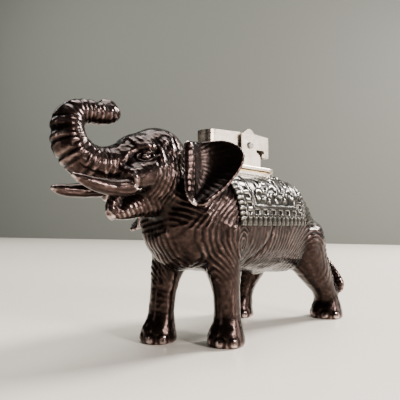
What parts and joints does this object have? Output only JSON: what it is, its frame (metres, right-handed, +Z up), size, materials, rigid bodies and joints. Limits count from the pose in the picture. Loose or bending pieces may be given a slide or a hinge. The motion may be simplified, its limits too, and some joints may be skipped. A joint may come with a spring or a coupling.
{
  "type": "figural elephant table lighter",
  "caption": "Cast elephant figure with raised trunk and a relief blanket, carrying a lift-arm petrol lighter that lifts out of its back.",
  "frame": {"origin": "centre of the bounding box, on the surface that the four feet stand on", "axes": "-Y is the way the elephant faces, +X is its left side, +Z is up"},
  "size_m": [0.054, 0.1432, 0.089],
  "materials": {
    "antique_bronze": "slush-cast zinc alloy, antiqued copper-bronze plate rubbed bright on the high spots",
    "blanket_bronze": "cast relief, antiqued greyish bronze plate",
    "chrome": "worn bright nickel-chrome plate",
    "brass": "plain drawn and turned brass",
    "steel": "plain steel",
    "flint": "ferrocerium rod",
    "cotton": "undyed cotton and felt",
    "rubber": "black rubber"
  },
  "bodies": {
    "figure": {"elephant_body": "antique_bronze", "left_ear": "antique_bronze", "right_ear": "antique_bronze", "left_tusk": "antique_bronze", "right_tusk": "antique_bronze", "saddle_blanket": "blanket_bronze", "well_collar": "chrome"},
    "lighter": {"base_plate": "chrome", "fuel_tank": "brass", "felt_pad": "cotton", "cotton_wadding": "cotton", "wick_tube": "brass", "wick": "cotton", "flint_tube": "brass", "flint": "flint", "flint_spring": "steel", "bracket": "chrome", "pivot_screw": "steel", "pivot_nut": "steel", "arm_spring": "steel"},
    "arm": {"lift_arm": "chrome", "snuffer_cup": "chrome", "pawl_pin": "steel"},
    "wheel": {"flint_wheel": "steel", "ratchet_wheel": "steel"},
    "pawl": {"pawl": "steel"},
    "flint_screw": {"flint_screw": "brass"},
    "filler_screw": {"filler_screw": "brass", "filler_washer": "rubber"}
  },
  "joints": [
    {"name": "lighter_lift_out", "type": "slide", "parent": "figure", "child": "lighter", "axis": [0, 0, 1], "range_m": [0, 0.036]},
    {"name": "arm_hinge", "type": "hinge", "parent": "lighter", "child": "arm", "pos_m": [0.00197, 0.01588, 0.081], "axis": [-1, 0, 0], "range_deg": [0, 21], "stiffness_Nm_per_rad": 0.02, "springref_deg": -28.65, "deforming": ["arm_spring"]},
    {"name": "wheel_spin", "type": "hinge", "parent": "lighter", "child": "wheel", "pos_m": [0.00197, 0.01588, 0.081], "axis": [-1, 0, 0], "range_deg": [0, 21]},
    {"name": "pawl_swing", "type": "hinge", "parent": "arm", "child": "pawl", "pos_m": [0.00197, 0.00938, 0.0832], "axis": [1, 0, 0], "range_deg": [0, 8], "stiffness_Nm_per_rad": 0.0005, "springref_deg": -17.19},
    {"name": "flint_screw_turn", "type": "hinge", "parent": "lighter", "child": "flint_screw", "pos_m": [0.00197, 0.01588, 0.0412], "axis": [0, 0, 1], "continuous": true},
    {"name": "filler_screw_turn", "type": "hinge", "parent": "lighter", "child": "filler_screw", "pos_m": [0.00197, 0.02578, 0.0405], "axis": [0, 0, 1], "continuous": true}
  ],
  "couplings": [
    {"joint": "wheel_spin", "follows": "arm_hinge", "ratio": 1}
  ]
}
